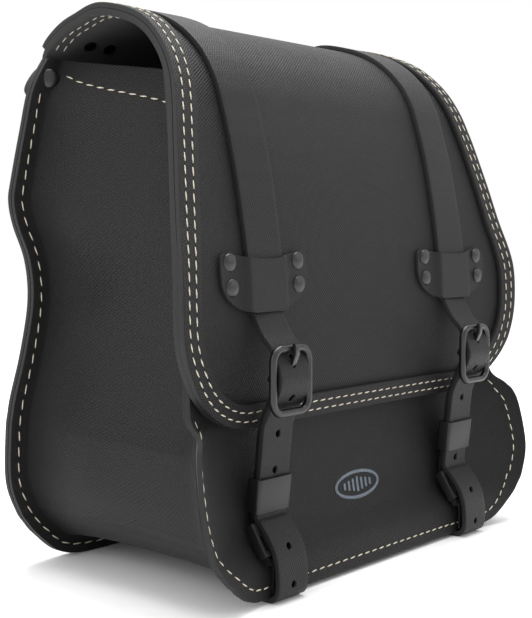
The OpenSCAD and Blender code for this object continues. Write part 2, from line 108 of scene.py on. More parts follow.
bpy.context.scene.view_settings.view_transform = "Standard"
WORLD_POWER = 1.0
world = bpy.data.worlds.new("studio")
bpy.context.scene.world = world
world.use_nodes = True
world.node_tree.nodes["Background"].inputs["Color"].default_value = colour("#ffffff")
world.node_tree.nodes["Background"].inputs["Strength"].default_value = WORLD_POWER


def soft_box(name, place, target, size, power):
    lamp = bpy.data.lights.new(name, "AREA")
    lamp.shape = "RECTANGLE"
    lamp.size, lamp.size_y = size
    lamp.energy = power
    box = bpy.data.objects.new(name, lamp)
    bpy.context.scene.collection.objects.link(box)
    box.location = place
    box.rotation_euler = (Vector(target) - Vector(place)).to_track_quat("-Z", "Y").to_euler()


soft_box("overhead_box", (0.1, 0.1, 1.5), (0, 0, 0.2), (1.2, 1.0), 24)
soft_box("front_box", (0.9, -1.6, 1.0), (0, 0, 0.2), (0.9, 1.2), 3)
soft_box("left_box", (-1.7, 0.1, 0.9), (0, 0, 0.15), (0.8, 1.2), 7)

camera_data = bpy.data.cameras.new("camera")
camera_data.lens = 67.7
camera_data.sensor_width = 36
camera_data.sensor_fit = "AUTO"
camera = bpy.data.objects.new("camera", camera_data)
bpy.context.scene.collection.objects.link(camera)
camera.location = (-0.5937, -0.5078, 0.2099)
camera.rotation_euler = Vector((0.7461, 0.6626, -0.0661)).to_track_quat("-Z", "Y").to_euler()
bpy.context.scene.camera = camera


# ---------------------------------------------------------------- leather finishes
# Vegetable-tanned cowhide dyed black. The panels are printed with a fine crossed grain,
# the straps are plain and waxed, and cut edges are dyed and rubbed dull.
GRAIN_MM = 1.5      # spacing of the printed diagonal lines
PORE_MM = 0.55


def leather(name, base, light, rough, printed):
    made = material(name, rough, base)
    shader = shader_of(made)
    shader.inputs["Sheen Weight"].default_value = 0.02
    shader.inputs["Sheen Roughness"].default_value = 0.5
    shader.inputs["Specular IOR Level"].default_value = 0.3
    uv = node(made, "ShaderNodeUVMap", {"uv_map": "leather_mm"})
    cloud = node(made, "ShaderNodeTexNoise", {"Scale": 0.02, "Detail": 4.0}, Vector=uv.outputs["UV"])
    ramp = node(made, "ShaderNodeValToRGB", (), Fac=cloud.outputs["Fac"])
    ramp.color_ramp.elements[0].position = 0.3
    ramp.color_ramp.elements[1].position = 0.75
    ramp.color_ramp.elements[0].color = colour(base)
    ramp.color_ramp.elements[1].color = colour(light)
    made.node_tree.links.new(ramp.outputs["Color"], shader.inputs["Base Color"])
    pores = node(made, "ShaderNodeTexNoise", {"Scale": 1 / PORE_MM, "Detail": 3.0}, Vector=uv.outputs["UV"])
    height = pores.outputs["Fac"]
    if printed > 0:
        waves = []
        for turn in (-38, 52):
            turned = node(made, "ShaderNodeMapping", {"Rotation": (0, 0, math.radians(turn))},
                          Vector=uv.outputs["UV"])
            wave = node(made, "ShaderNodeTexWave",
                        {"wave_profile": "SIN", "Scale": 2 * math.pi / (20 * GRAIN_MM),
                         "Distortion": 0.6, "Detail": 1.0}, Vector=turned.outputs["Vector"])
            waves.append(wave.outputs["Fac"])
        crossed = node(made, "ShaderNodeMath", {"operation": "MULTIPLY"})
        made.node_tree.links.new(waves[0], crossed.inputs[0])
        made.node_tree.links.new(waves[1], crossed.inputs[1])
        added = node(made, "ShaderNodeMath", {"operation": "MULTIPLY_ADD"})
        made.node_tree.links.new(crossed.outputs[0], added.inputs[0])
        added.inputs[1].default_value = 2.2 * printed
        made.node_tree.links.new(height, added.inputs[2])
        height = added.outputs[0]
    bump = node(made, "ShaderNodeBump", {"Strength": 0.7, "Distance": 0.0003},
                Height=height)
    made.node_tree.links.new(bump.outputs["Normal"], shader.inputs["Normal"])
    worn = node(made, "ShaderNodeMapRange", {"To Min": rough - 0.06, "To Max": rough + 0.08},
                Value=cloud.outputs["Fac"])
    made.node_tree.links.new(worn.outputs["Result"], shader.inputs["Roughness"])
    return made


def speckle(mat, scale, detail, tones=(), relief=()):
    """Gives a finish fine uneven tone and relief; scale is about the specks in a metre."""
    tree = mat.node_tree
    place = node(mat, "ShaderNodeTexCoord")
    specks = node(mat, "ShaderNodeTexNoise", {"Scale": scale, "Detail": detail},
                  Vector=place.outputs["Object"])
    if tones:
        ramp = node(mat, "ShaderNodeValToRGB", (), Fac=specks.outputs["Fac"])
        for stop, tone in zip(ramp.color_ramp.elements, tones):
            stop.color = colour(tone)
        tree.links.new(ramp.outputs["Color"], shader_of(mat).inputs["Base Color"])
    if relief:
        strength, depth = relief
        bump = node(mat, "ShaderNodeBump", {"Strength": strength, "Distance": depth},
                    Height=specks.outputs["Fac"])
        tree.links.new(bump.outputs["Normal"], shader_of(mat).inputs["Normal"])
    return specks.outputs["Fac"]


body_leather = leather("printed_body_leather", "#060606", "#0a0a0a", 0.55, 1.0)
flap_leather = leather("printed_flap_leather", "#060607", "#0a0a0b", 0.52, 1.0)
strap_leather = leather("waxed_strap_leather", "#070707", "#0c0c0d", 0.46, 0.45)

cut_edge = material("dyed_cut_edge", 0.7, "#141414")
speckle(cut_edge, 900.0, 4.0, ("#0c0c0d", "#1c1c1d"), (0.4, 0.0002))

# The flesh side inside the bag and under the flap has a short nap; its lighter grey is painted light,
# standing in for the light that reaches inside the opening.
flesh_side_painted_light = material("brushed_flesh_side", 0.85, "#2b2b2c")
speckle(flesh_side_painted_light, 1400.0, 4.0, ("#343435", "#4c4c4d"), (0.4, 0.0002))


def on_rows(rows, s):
    """A smooth curve through a list of rows, at a place s counted in rows."""
    last = len(rows) - 1
    i = min(int(s), last - 1)
    t = s - i
    a, b, c, d = rows[max(i - 1, 0)], rows[i], rows[i + 1], rows[min(i + 2, last)]
    return [0.5 * (2 * q + (r - p) * t + (2 * p - 5 * q + 4 * r - v) * t * t
                   + (3 * q - p - 3 * r + v) * t ** 3) for p, q, r, v in zip(a, b, c, d)]


def between(x, table):
    """Reads a list of (x, value) pairs that rises in x, with straight lines between."""
    if x <= table[0][0]:
        return table[0][1]
    for (x0, y0), (x1, y1) in zip(table, table[1:]):
        if x <= x1:
            return y0 + (y1 - y0) * (x - x0) / (x1 - x0)
    return table[-1][1]


def hide(name, columns, rows, place, *materials, thick, around=0.45, flip=False, smooth_angle=40):
    """A sheet of leather: a grid laid on the surface place(u, v), u and v from 0 to 1,
    given its thickness behind that face, its cut rim and softened arrises."""
    bm = bmesh.new()
    bmesh.ops.create_grid(bm, x_segments=columns, y_segments=rows, size=0.5, calc_uvs=False)
    layer = bm.loops.layers.uv.new("leather_mm")
    flat = {}
    for v in bm.verts:
        flat[v] = (v.co.x + 0.5, v.co.y + 0.5)
    steps = 12
    along = {}
    for v, (a, b) in flat.items():
        v.co = Vector(place(a, b)) * MM
    middle = [Vector(place(0.5, k / 200)) for k in range(201)]
    run = [0.0]
    for p, q in zip(middle, middle[1:]):
        run.append(run[-1] + (q - p).length)
    for v, (a, b) in flat.items():
        if b not in along:
            along[b] = between(b * 200, list(enumerate(run)))
            start = Vector(place(0, b))
            width = 0.0
            for k in range(1, steps + 1):
                point = Vector(place(k / steps, b))
                width += (point - start).length
                start = point
            along[(b, "w")] = width
    for face in bm.faces:
        for loop in face.loops:
            a, b = flat[loop.vert]
            loop[layer].uv = ((a - 0.5) * along[(b, "w")], along[b])
    if flip:
        bmesh.ops.reverse_faces(bm, faces=bm.faces)
    bmesh.ops.remove_doubles(bm, verts=bm.verts, dist=0.000001)
    piece = mesh_piece(name, bm, *materials, smooth_angle=smooth_angle)
    shell = piece.modifiers.new("thickness", "SOLIDIFY")
    shell.thickness = thick * MM
    shell.offset = -1
    shell.material_offset_rim = 1
    shell.material_offset = 2 if len(materials) > 2 else 0
    shell.use_even_offset = True
    soften = piece.modifiers.new("arris", "BEVEL")
    soften.width = around * MM
    soften.segments = 2
    soften.limit_method = "ANGLE"
    soften.angle_limit = math.radians(50)
    return piece


# ---------------------------------------------------------------- body panels
# The front panel, the long gusset that makes both sides and the bottom, and the flat back
# are cut from 2.8 mm hide. They are stitched edge to edge, flesh sides together, so the
# seams stand out as raw double edges and the gusset walls sag inwards between them.
BODY_T = 2.8
SEAM_Y = 80.4
BACK_INSET = 11
SAG_INSET = 14.5
RIM = [
    [136, 318, 134, 303, -27, -25.5, 6], [147, 299, 137.5, 287, -32, -29.8, 6],
    [154, 272, 142.5, 263, -39.5, -35.5, 6], [161, 242, 146, 240, -45.5, -40.5, 6],
    [163, 229, 148, 228, -48, -43, 6], [160, 214, 150, 214, -52, -46.3, 6],
    [151.5, 192, 152.8, 192, -57.5, -50.5, 8], [149.5, 167, 154.5, 167, -61.5, -53.2, 8],
    [155.5, 136, 154, 136, -62.5, -53.8, 10], [163.5, 109, 155.2, 109, -64, -54, 12],
    [165.8, 98.5, 158.7, 99, -76, -54.5, 10],
    [167.5, 87, 164.8, 87, -82, -55.5, 8], [168, 56, 167, 56, -88, -58.8, 6],
    [161, 36, 161.5, 36, -88.8, -63, 6], [155, 27, 155, 27, -88.5, -70, 6],
    [148, 19, 147, 19, -87.5, -76.8, 6], [130, 4.5, 128, 5.5, -83.5, -79.3, 6],
    [105, 0, 103, 2.5, -79.5, -79, 6], [60, 0, 60, 2.5, -79, -79, 6], [0, 0, 0, 2.5, -79, -79, 6],
]
PANEL_LAST = 17       # the row of the rim where the front panel ends
RIM_LAST = len(RIM) - 1
LEVEL_ROWS = 1.2      # the walls' inward direction turns level over the top rows


def panel_place(a, b):
    w, z, edge, mid, power = on_rows(RIM, PANEL_LAST * (1 - b))[2:]
    u = 2 * a - 1
    u = math.copysign(1 - (1 - abs(u)) ** 1.25, u)
    return (u * w, mid + (edge - mid) * abs(u) ** power, z)


front_panel = hide("front_panel_hide", 90, 150, panel_place, body_leather, cut_edge, flesh_side_painted_light,
                   thick=BODY_T)
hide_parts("front_panel")
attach(front_panel, "bag")

PANEL_TABLES = []
for column in (2, 4, 5, 6):
    fine = [on_rows(RIM, PANEL_LAST * k / 160) for k in range(161)]
    PANEL_TABLES.append(sorted((r[3], r[column]) for r in fine))


def panel_y(x, z):
    w, edge, mid, power = (between(z, t) for t in PANEL_TABLES)
    return mid + (edge - mid) * min(1, abs(x) / w) ** power


# A small printed motif of plain shapes stands near the foot of the panel.
PRINT_W = 46
PRINT_H = 18
PRINT_X = -1
PRINT_Z = 48
PRINT_T = 0.25
print_ink = material("grey_blue_print", 0.6, "#59626d")
speckle(print_ink, 700.0, 3.0, ("#3d444c", "#737d88"))


def printed_motif():
    bm = bmesh.new()
    rings = []
    for scale in (1.0, 0.9):
        made = bmesh.ops.create_circle(bm, cap_ends=False, segments=64, radius=PRINT_W / 2 * scale)
        for v in made["verts"]:
            v.co.y *= (PRINT_H / PRINT_W) * (1 - (1 - scale) * 1.5)
        rings += [e for e in bm.edges if all(v in set(made["verts"]) for v in e.verts)]
    bmesh.ops.bridge_loops(bm, edges=rings)
    for k in range(-3, 4):
        bar = bmesh.ops.create_grid(bm, x_segments=2, y_segments=6, size=0.5)
        tall = 9.5 - 1.7 * abs(k)
        shape = Matrix.Translation((k * 4.4, 0, 0)) @ Matrix.Diagonal((2.1, tall, 1, 1))
        bmesh.ops.transform(bm, matrix=shape, verts=bar["verts"])
    for v in bm.verts:
        x, z = PRINT_X + v.co.x, PRINT_Z + v.co.y
        v.co = Vector((x, panel_y(x, z) - PRINT_T, z)) * MM
    bmesh.ops.recalc_face_normals(bm, faces=bm.faces)
    flipped = [f for f in bm.faces if f.normal.y > 0]
    bmesh.ops.reverse_faces(bm, faces=flipped)
    piece = mesh_piece("panel_print", bm, print_ink)
    film = piece.modifiers.new("film", "SOLIDIFY")
    film.thickness = PRINT_T * MM
    film.offset = -1
    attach(piece, "bag")


printed_motif()


def inward(s, col):
    a = on_rows(RIM, max(s - 0.2, 0))
    b = on_rows(RIM, min(s + 0.2, RIM_LAST))
    t = Vector((b[col] - a[col], b[col + 1] - a[col + 1])).normalized()
    level = max(0, 1 - s / LEVEL_ROWS)
    return ((1 - level) * Vector((t.y, -t.x)) + level * Vector((-1, 0))).normalized()


def wall_point(s, d, q, dy=0.0):
    r = on_rows(RIM, s)
    n = ((1 - q) * inward(s, 0) + q * inward(s, 2)).normalized()
    at = (1 - q) * Vector((r[0], r[1])) + q * Vector((r[2], r[3])) + d * n
    return [at.x, SEAM_Y + q * (r[4] + 6 - SEAM_Y) + dy, at.y]


def flange_point(s, d, dy):
    r = on_rows(RIM, s)
    at = Vector((r[2], r[3])) + d * inward(s, 2)
    return [at.x, panel_y(at.x, at.y) + dy, at.y]


def gusset_section(s):
    """The outer line of the gusset from the back seam's edge to the front seam's edge."""
    waist = math.exp(-((s - 5.6) / 1.3) ** 2)
    sag = SAG_INSET + 1.2 * waist
    return [wall_point(s, 0, 0), wall_point(s, BACK_INSET * 0.5, 0),
            wall_point(s, BACK_INSET - 0.6, 0, -0.1), wall_point(s, BACK_INSET + 1.4, 0, -3),
            wall_point(s, sag - 1.2, 0.1), wall_point(s, sag - 0.3, 0.22),
            wall_point(s, sag, 0.42), wall_point(s, SAG_INSET - 0.8, 0.64),
            wall_point(s, SAG_INSET - 2.2, 0.82), flange_point(s, 10.8, BODY_T + 7.2),
            flange_point(s, 7.5, 2 * BODY_T + 0.6), flange_point(s, 3.5, 2 * BODY_T + 0.3),
            flange_point(s, 0, 2 * BODY_T + 0.2)]


# Soft swells and hollows where the walls were pressed by hand: [y, z, spread y, spread z, out]
SWELLS = [[56, 214, 20, 13, 3.2], [44, 178, 24, 15, -3], [36, 78, 22, 20, 3.4],
          [50, 116, 20, 17, -2.6], [-20, 226, 18, 22, 1.8], [-28, 140, 16, 26, -1.6]]


def swell(y, z):
    return sum(out * math.exp(-((y - at_y) / wide) ** 2 - ((z - at_z) / tall) ** 2)
               for at_y, at_z, wide, tall, out in SWELLS)


def gusset_place(a, b):
    side = 1 if b >= 0.5 else -1
    s = RIM_LAST * (1 - abs(2 * b - 1))
    x, y, z = on_rows(gusset_section(s), 12 * a)
    free = max(0, math.sin(math.pi * min(1, max(0, (a - 0.22) / 0.5)))) ** 0.6
    return (side * (x + free * swell(y, z)), y, max(z, 0.0))


gusset = hide("gusset_hide", 44, 260, gusset_place, body_leather, cut_edge, flesh_side_painted_light,
              thick=BODY_T, flip=True)
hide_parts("gusset")
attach(gusset, "bag")


# The back is one flat 3.4 mm panel cut to the rim's outline.
BACK_Y = 87
BACK_T = 3.4


def cut_panel(name, outline, y, t, *materials):
    """A flat hide cut to an outline in x and z, its rear face at y."""
    bm = bmesh.new()
    layer = bm.loops.layers.uv.new("leather_mm")
    corners = [bm.verts.new(Vector((x, y, z)) * MM) for x, z in outline]
    face = bm.faces.new(corners)
    if face.normal.y < 0:
        face.normal_flip()
    grown = bmesh.ops.extrude_face_region(bm, geom=[face])
    moved = [g for g in grown["geom"] if isinstance(g, bmesh.types.BMVert)]
    bmesh.ops.translate(bm, verts=moved, vec=Vector((0, -t, 0)) * MM)
    bmesh.ops.recalc_face_normals(bm, faces=bm.faces)
    for f in bm.faces:
        f.material_index = 0 if abs(f.normal.y) > 0.7 else 1
        for loop in f.loops:
            loop[layer].uv = (loop.vert.co.x / MM, loop.vert.co.z / MM)
    arrises = [e for e in bm.edges if len(e.link_faces) == 2 and e.calc_face_angle(0) > 1.2]
    bmesh.ops.bevel(bm, geom=arrises, offset=0.5 * MM, offset_type="OFFSET", segments=2,
                    profile=0.5, affect="EDGES", material=-1)
    return mesh_piece(name, bm, *materials)


back_half = [on_rows(RIM, RIM_LAST * k / 140)[:2] for k in range(141)]
back_half = [(x, max(z, 0)) for x, z in back_half]
back_outline = back_half + [(-x, z) for x, z in back_half[-2::-1]]
back_panel = cut_panel("back_hide", back_outline, BACK_Y, BACK_T, body_leather, cut_edge)
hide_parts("back_panel")
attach(back_panel, "bag")


# ---------------------------------------------------------------- flap
# One piece of 4 mm hide that is riveted to the top of the back, folds over the top and hangs
# down the front. A 3.6 mm border strip is glued and double-stitched all round its face.
FLAP_T = 4.0
TAIL_T = 3.4
BORDER_T = 3.6
BORDER_SIDE = 16
BORDER_BOTTOM = 13.5
FLAP_FOOT = 98
CORNER = 64
CORNER_X = 171 - CORNER
CORNER_Z = FLAP_FOOT + CORNER
CURL_X = 170
LOW_CURL = 8
LOW = [(98, -59.5), (105, -60), (112, -60.8), (122, -62.4), (132, -63.4), (162, -63.6)]


def corner_row(degrees):
    """The row [y, z, forward curl, half width] at a place on the flap's round lower corner."""
    angle = math.radians(degrees)
    z = CORNER_Z - CORNER * math.sin(angle)
    return [between(z, LOW), z, LOW_CURL, CORNER_X + CORNER * math.cos(angle)]


FLAP = [corner_row(a) for a in range(90, 0, -15)]
FLAP += [
    [-63.6, 162.3, 8, 171], [-62.8, 182, 8, 170.6], [-61.9, 197, 6.2, 168.3],
    [-59.4, 218, 2.4, 163.5], [-55.8, 240, 0, 159], [-51.1, 262, -1.8, 154], [-45.9, 280, -2, 149.5],
    [-40, 297, -3, 145.3], [-29.7, 313, -3.8, 141.5], [-12, 328, -3, 137.3], [10, 337.9, -2, 133.8],
    [38, 344, -1.5, 132], [58.5, 340, -1, 132], [72, 335.6, -0.5, 132.4], [84, 328, 0, 133],
    [89.2, 321.6, 0, 133],
]
LID_ROWS = len(FLAP) - 1
TAIL = [[90.7, 316, 0, 133.5], [90.8, 309, 0, 140.5], [90.8, 302, 0, 145.5], [90.8, 297, 0, 146.5],
        [90.8, 292.6, 0, 142.5]]
WHOLE = FLAP + TAIL
SIDE_FROM = 6.0


def flap_row(s):
    if s < SIDE_FROM:
        return corner_row(90 - 15 * s)
    return on_rows(WHOLE, s)


def flap_normal(s):
    a, b = flap_row(max(s - 0.1, 0)), flap_row(min(s + 0.1, len(WHOLE) - 1))
    run = Vector((b[0] - a[0], b[1] - a[1])).normalized()
    return -run.y, run.x


def flap_point(s, x, out=0.0):
    y, z, curl, _ = flap_row(s)
    ny, nz = flap_normal(s)
    return (x, y - curl * (abs(x) / CURL_X) ** 3 + out * ny, z + out * nz)


def flap_place(a, b):
    s = b * (len(WHOLE) - 1)
    return flap_point(s, (2 * a - 1) * flap_row(s)[3])


flap = hide("flap_hide", 72, 224, flap_place, flap_leather, cut_edge, flesh_side_painted_light, thick=FLAP_T)
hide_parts("flap_panel", "hinge_tail")
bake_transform(flap)

FRONT = [flap_row(LID_ROWS * k / 300) for k in range(301)]
FRONT = [r for r in FRONT if r[1] < 316 and r[0] < 0]
FACE_Y = [(r[1], r[0]) for r in FRONT]
FACE_CURL = [(r[1], r[2]) for r in FRONT]


def flap_y(x, z):
    return between(z, FACE_Y) - between(z, FACE_CURL) * (abs(x) / CURL_X) ** 3


SIDE_TO = LID_ROWS - 0.45
SIDE_SHARE = 0.62      # parts of the way from back to middle spent on the side,
CORNER_SHARE = 0.18    # and on the round corner


def flap_edge(t, inset_side, inset_bottom, out):
    """A point inset from the flap's edge. t runs from 0 at the back on the left, down that
    side, along the foot and up the other side to 1 at the back on the right."""
    side = -1 if t < 0.5 else 1
    r = 1 - 2 * abs(t - 0.5)
    past_corner = SIDE_SHARE + CORNER_SHARE
    if r < SIDE_SHARE:
        s = SIDE_TO + (SIDE_FROM - SIDE_TO) * r / SIDE_SHARE
        return flap_point(s, side * (flap_row(s)[3] - inset_side), out)
    if r < past_corner:
        a = math.radians(90 * (r - SIDE_SHARE) / CORNER_SHARE)
        x = CORNER_X + (CORNER - inset_side) * math.cos(a)
        z = CORNER_Z - (CORNER - inset_bottom) * math.sin(a)
    else:
        x = CORNER_X * (1 - (r - past_corner) / (1 - past_corner))
        z = FLAP_FOOT + inset_bottom
    return (side * x, flap_y(x, z) - out, z)


def border_place(a, b):
    return flap_edge(b, BORDER_SIDE * a, BORDER_BOTTOM * a, BORDER_T)


border = hide("flap_border_strip", 8, 420, border_place, flap_leather, cut_edge,
              thick=BORDER_T - 0.08, around=0.55, flip=True)
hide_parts("flap_border")
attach(border, "flap")


# ---------------------------------------------------------------- straps and tabs
# Each strap is one length of 3.2 mm bridle leather. It lies on the flap from the back,
# narrows under a riveted tab, bows out through the buckle and ends under the bag's foot.
STRAP_X = 97.5
STRAP_T = 3.2
UPPER_W = 30
LOWER_W = 25
STRAP_FACE = [
    [-71, 161], [-76, 152.7], [-82.8, 145.5], [-88, 136], [-90.6, 128], [-88.5, 119.5],
    [-83, 111.5], [-78.9, 104], [-76.8, 98], [-75.2, 84], [-73.4, 68], [-71.4, 49.5],
    [-74.6, 45], [-79.5, 39.5], [-84, 33], [-87.2, 25], [-88.4, 16], [-88.4, 9], [-87.2, 4.2],
    [-84, 1.2], [-79, 0.15], [-66, 0.1],
]
UPPER_TO = LID_ROWS - 1.1
UPPER_STEPS = 90
LOWER_STEPS = 160
TAB_FROM = 166.5


def row_at_height(z):
    low, high = 6.0, 14.0
    for _ in range(30):
        middle = (low + high) / 2
        low, high = (middle, high) if flap_row(middle)[1] < z else (low, middle)
    return low


UPPER_FROM = row_at_height(TAB_FROM)


def strap_line(side):
    """The strap's middle line on its face: points, outward directions and half widths."""
    line = []
    for k in range(UPPER_STEPS + 1):
        s = UPPER_TO + (UPPER_FROM - UPPER_TO) * k / UPPER_STEPS
        point = flap_point(s, side * STRAP_X, STRAP_T + 0.1)
        ny, nz = flap_normal(s)
        line.append((point[1], point[2], ny, nz))
    fold = [[line[-1][0], line[-1][1]]] + STRAP_FACE
    for k in range(1, LOWER_STEPS + 1):
        s = (len(fold) - 1) * k / LOWER_STEPS
        y, z = on_rows(fold, s)
        y0, z0 = on_rows(fold, max(s - 0.1, 0))
        y1, z1 = on_rows(fold, min(s + 0.1, len(fold) - 1))
        run = Vector((y1 - y0, z1 - z0)).normalized()
        line.append((y, z, run.y, -run.x))
    return line


def strap_half(z, upper):
    if upper or z > 176:
        return UPPER_W / 2
    return LOWER_W / 2 + (UPPER_W - LOWER_W) / 2 * max(0, min(1, (z - 163) / 13))


def strap_place(side):
    """The strap's surface function; on the flap the strap follows the flap's curl."""
    line = strap_line(side)
    last = len(line) - 1

    def place(a, b):
        k = round(b * last)
        y, z, _, _ = line[k]
        x = side * STRAP_X + (2 * a - 1) * strap_half(z, y > -40)
        on_flap_front = k <= UPPER_STEPS and z < 313 and y < 0
        tilt = flap_y(abs(x), z) - flap_y(STRAP_X, z) if on_flap_front else 0.0
        return (x, y + tilt, z)

    return place


SLOT_Z = 137.6
SLOT_STRETCH = 1.85
HOLE_R = 2.2
HOLES = [(116.5 - 21.3 * k, 1) for k in range(6)] + [(SLOT_Z, SLOT_STRETCH)]


def punch(piece, x):
    """Punches the prong's holes straight through a strap by a boolean cut."""
    bm = bmesh.new()
    for z, stretch in HOLES:
        made = bmesh.ops.create_cone(bm, cap_ends=True, segments=20, radius1=HOLE_R * MM,
                                     radius2=HOLE_R * MM, depth=70 * MM)
        place = (Matrix.Translation(Vector((x, -85, z)) * MM) @ Matrix.Diagonal((1, 1, stretch, 1))
                 @ Matrix.Rotation(math.radians(90), 4, "X"))
        bmesh.ops.transform(bm, matrix=place, verts=made["verts"])
    cutter = mesh_piece("punch_tool", bm)
    cut = piece.modifiers.new("holes", "BOOLEAN")
    cut.operation = "DIFFERENCE"
    cut.solver = "EXACT"
    cut.object = cutter
    settle(piece)
    bpy.data.objects.remove(cutter, do_unlink=True)


def settle(piece):
    """Applies a piece's modifiers, so that later steps see its final mesh."""
    seen = bpy.context.evaluated_depsgraph_get()
    seen.update()
    final = bpy.data.meshes.new_from_object(piece.evaluated_get(seen))
    old = piece.data
    name = old.name
    piece.modifiers.clear()
    piece.data = final
    bpy.data.meshes.remove(old)
    final.name = name


for side, word in ((-1, "left"), (1, "right")):
    piece = hide(f"strap_{word}", 10, UPPER_STEPS + LOWER_STEPS, strap_place(side), strap_leather,
                 cut_edge, thick=STRAP_T, around=0.7, flip=True)
    punch(piece, side * STRAP_X)
    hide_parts(f"strap_upper_{word}", f"strap_lower_{word}")
    x = side * STRAP_X * MM
    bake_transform(piece)

TAB = [[164.6, 12], [165.4, 18], [167.2, 24], [170, 29.5], [174, 34.3], [179.5, 37.6],
       [186, 38.6], [192, 38.4], [196, 37.4], [198.3, 34.5]]
TAB_T = 2.2


def bridge(x):
    t = max(0, min(1, (21.4 - abs(x)) / 5.6))
    return 3.55 * t * t * (3 - 2 * t)


for side, word in ((-1, "left"), (1, "right")):
    def tab_place(a, b, side=side):
        z, half = on_rows(TAB, (len(TAB) - 1) * b)
        x = (2 * a - 1) * half
        dip = 3.4 * (1 - min(1, abs(x) / 30) ** 2) * max(0, b - 0.7) / 0.3
        z -= dip
        return (side * STRAP_X + x, flap_y(side * STRAP_X + x, z) - bridge(x) - TAB_T, z)

    tab = hide(f"strap_tab_{word}", 60, 30, tab_place, strap_leather, cut_edge, thick=TAB_T - 0.05,
               around=0.6)
    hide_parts(f"tab_{word}")
    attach(tab, "flap")


# ---------------------------------------------------------------- stitching
# Waxed cream linen thread, about 1 mm thick, saddle-stitched at 7.5 mm. Each stitch is
# a short rounded dash that leans a little, with an awl hole at either end.
PITCH = 7.5
SEAM_PITCH = 9.7     # the back seam and the side walls have longer stitches
DASH = 0.8           # length of a stitch as a part of the pitch
THREAD_R = 0.5

thread = material("waxed_cream_thread", 0.6, "#cfc6b4")
speckle(thread, 1600.0, 2.0, ("#a89f8d", "#e2dac9"))
awl_dark = material("awl_hole_shadow", 0.9, "#050505")


def stitch_row(bm, line, out, pitch):
    """Lays dashes along a list of (point, outward direction), all in millimetres."""
    points = [Vector(p) for p, _ in line]
    run = [0.0]
    for p, q in zip(points, points[1:]):
        run.append(run[-1] + (q - p).length)
    count = int(run[-1] / pitch)
    at = 0
    for k in range(count):
        middle = (k + 0.5) * run[-1] / count
        while at < len(run) - 2 and run[at + 1] < middle:
            at += 1
        part = (middle - run[at]) / max(run[at + 1] - run[at], 1e-6)
        point = points[at].lerp(points[at + 1], part)
        along = (points[at + 1] - points[at]).normalized()
        up = Vector(line[at][1]).normalized()
        across = up.cross(along).normalized()
        lean = (along + 0.09 * across).normalized()
        across = up.cross(lean).normalized()
        turn = Matrix((across, lean, up)).transposed().to_4x4()
        centre = Matrix.Translation((point + out * up) * MM)
        dash = bmesh.ops.create_icosphere(bm, subdivisions=1, radius=1.0)
        scale = Matrix.Diagonal((THREAD_R * MM, pitch * DASH / 2 * MM, THREAD_R * 0.8 * MM, 1))
        bmesh.ops.transform(bm, matrix=centre @ turn @ scale, verts=dash["verts"])
        hole_at = Matrix.Translation((point + lean * pitch / 2) * MM)
        hole = bmesh.ops.create_icosphere(bm, subdivisions=1, radius=0.62 * MM)
        flat = Matrix.Diagonal((1, 1, 0.12, 1))
        bmesh.ops.transform(bm, matrix=hole_at @ turn @ flat, verts=hole["verts"])
        for face in {f for v in hole["verts"] for f in v.link_faces}:
            face.material_index = 1


def stitches(name, rows, body, out=0.12, pitch=PITCH):
    bm = bmesh.new()
    for line in rows:
        stitch_row(bm, line, out, pitch)
    piece = mesh_piece(name, bm, thread, awl_dark, smooth_angle=80)
    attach(piece, body)


def border_line(inset_side, inset_bottom, out=BORDER_T, step=1):
    line = []
    for k in range(601):
        t = 0.004 + 0.992 * k / 600
        here = Vector(flap_edge(t, inset_side, inset_bottom, out))
        above = Vector(flap_edge(t, inset_side, inset_bottom, out + step))
        line.append((here, above - here))
    return line


stitches("flap_stitching", [border_line(5, 4.1), border_line(11, 9.2)], "flap")
stitches("flap_stitching_inside",
         [border_line(5, 4.1, -FLAP_T, -1), border_line(11, 9.2, -FLAP_T, -1)], "flap")


def rim_line(section_at, s_from, s_to, side, behind):
    line = []
    for k in range(401):
        s = s_from + (s_to - s_from) * k / 400
        x, y, z = section_at(s)
        line.append((Vector((side * x, y, z)), Vector(behind)))
    return line


def back_seam(s):
    return wall_point(s, 6, 0)


def both_sides(section_at, s_from, behind):
    right = rim_line(section_at, s_from, RIM_LAST, 1, behind)
    left = rim_line(section_at, s_from, RIM_LAST, -1, behind)
    return right + left[::-1][1:]


stitches("back_seam_stitching", [both_sides(back_seam, 1.0, (0, -1, 0))], "bag",
         pitch=SEAM_PITCH)
rear_seam = both_sides(back_seam, 1.2, (0, 1, 0))
back_stitch_face = [((p[0], BACK_Y, p[2]), (0, 1, 0)) for p, _ in rear_seam]
stitches("back_seam_stitching_rear", [back_stitch_face], "bag", pitch=SEAM_PITCH)


def panel_normal(x, z):
    slope_x = (panel_y(x + 1, z) - panel_y(x - 1, z)) / 2
    slope_z = (panel_y(x, z + 1) - panel_y(x, z - 1)) / 2
    return Vector((slope_x, -1, slope_z)).normalized()


FRONT_SEAM_FROM = 9.0     # the front seam's stitches start at this row of the rim
SEAM_INSET = 6.8


def front_seam_line():
    line = []
    for k in range(801):
        b = 2 * k / 800 - 1
        side = 1 if b >= 0 else -1
        s = FRONT_SEAM_FROM + (RIM_LAST - FRONT_SEAM_FROM) * (1 - abs(b))
        r = on_rows(RIM, s)
        at = Vector((r[2], r[3])) + SEAM_INSET * inward(s, 2)
        x = side * at.x
        line.append((Vector((x, panel_y(x, at.y), at.y)), panel_normal(x, at.y)))
    return line


stitches("front_seam_stitching", [front_seam_line()], "bag")


def wing_line(side):
    line = []
    for k in range(101):
        q = 0.06 + 0.86 * k / 100
        s = 0.4 + 0.75 * q
        here = Vector(gusset_place((3.2 + 6.2 * q) / 12, 0.5 + 0.5 * (1 - s / RIM_LAST)))
        there = Vector(wall_point(s, 40, q))
        out = (here - there).normalized()
        line.append((Vector((side * here.x, here.y, here.z)), Vector((side * out.x, 0, out.z))))
    return line


